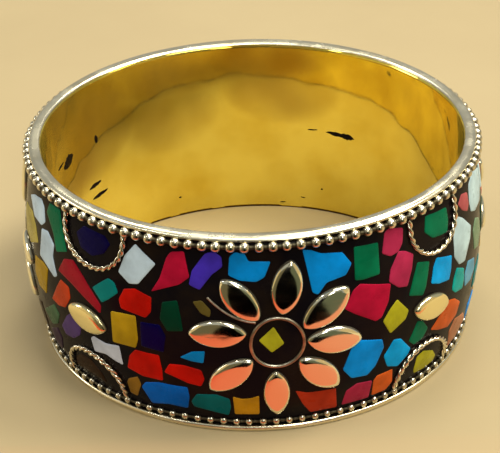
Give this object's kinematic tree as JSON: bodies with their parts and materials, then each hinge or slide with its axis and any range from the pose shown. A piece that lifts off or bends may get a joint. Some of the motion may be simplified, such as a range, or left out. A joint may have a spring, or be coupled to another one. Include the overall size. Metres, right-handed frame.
{
  "type": "bangle bracelet",
  "caption": "Wide rigid slip-on bangle: polished brass band, rolled rims, beaded edge wires and a bulging black lac face set with coloured chips, leaf studs and wire rings.",
  "frame": {"origin": "on the bangle's own axis, in the plane of the lower rim that it stands on", "axes": "+Z along the bangle's axis, from the lower rim to the upper rim; -Y towards the front flower"},
  "size_m": [0.0713, 0.0712, 0.0313],
  "materials": {
    "polished_brass": "mirror polished",
    "pale_brass": "polished, worn pale",
    "beaded_wire": "polished, dark in the hollows",
    "rope_wire": "satin",
    "leaf_brass": "polished",
    "black_lac": "ground and polished",
    "mosaic_chip": "ground and polished"
  },
  "bodies": {
    "root": {"inner_band": "polished_brass", "upper_rim": "pale_brass", "lower_rim": "pale_brass", "upper_bead_wire": "beaded_wire", "lower_bead_wire": "beaded_wire", "lac_bed": "black_lac", "back_flower_chip": "mosaic_chip", "back_flower_ring": "rope_wire", "back_left_leaf_stud": "leaf_brass", "back_left_lower_rope_loop": "rope_wire", "back_left_upper_rope_loop": "rope_wire", "back_petal_1": "leaf_brass", "back_petal_2": "leaf_brass", "back_petal_3": "leaf_brass", "back_petal_4": "leaf_brass", "back_petal_5": "leaf_brass", "back_petal_6": "leaf_brass", "back_petal_7": "leaf_brass", "back_petal_8": "leaf_brass", "back_right_leaf_stud": "leaf_brass", "back_right_lower_rope_loop": "rope_wire", "back_right_upper_rope_loop": "rope_wire", "front_flower_chip": "mosaic_chip", "front_flower_ring": "rope_wire", "front_left_leaf_stud": "leaf_brass", "front_left_lower_rope_loop": "rope_wire", "front_left_upper_rope_loop": "rope_wire", "front_petal_1": "leaf_brass", "front_petal_2": "leaf_brass", "front_petal_3": "leaf_brass", "front_petal_4": "leaf_brass", "front_petal_5": "leaf_brass", "front_petal_6": "leaf_brass", "front_petal_7": "leaf_brass", "front_petal_8": "leaf_brass", "front_right_leaf_stud": "leaf_brass", "front_right_lower_rope_loop": "rope_wire", "front_right_upper_rope_loop": "rope_wire", "front_tail_wire": "rope_wire", "left_flower_chip": "mosaic_chip", "left_flower_ring": "rope_wire", "left_petal_1": "leaf_brass", "left_petal_2": "leaf_brass", "left_petal_3": "leaf_brass", "left_petal_4": "leaf_brass", "left_petal_5": "leaf_brass", "left_petal_6": "leaf_brass", "left_petal_7": "leaf_brass", "left_petal_8": "leaf_brass", "right_flower_chip": "mosaic_chip", "right_flower_ring": "rope_wire", "right_petal_1": "leaf_brass", "right_petal_2": "leaf_brass", "right_petal_3": "leaf_brass", "right_petal_4": "leaf_brass", "right_petal_5": "leaf_brass", "right_petal_6": "leaf_brass", "right_petal_7": "leaf_brass", "right_petal_8": "leaf_brass"}
  },
  "joints": []
}
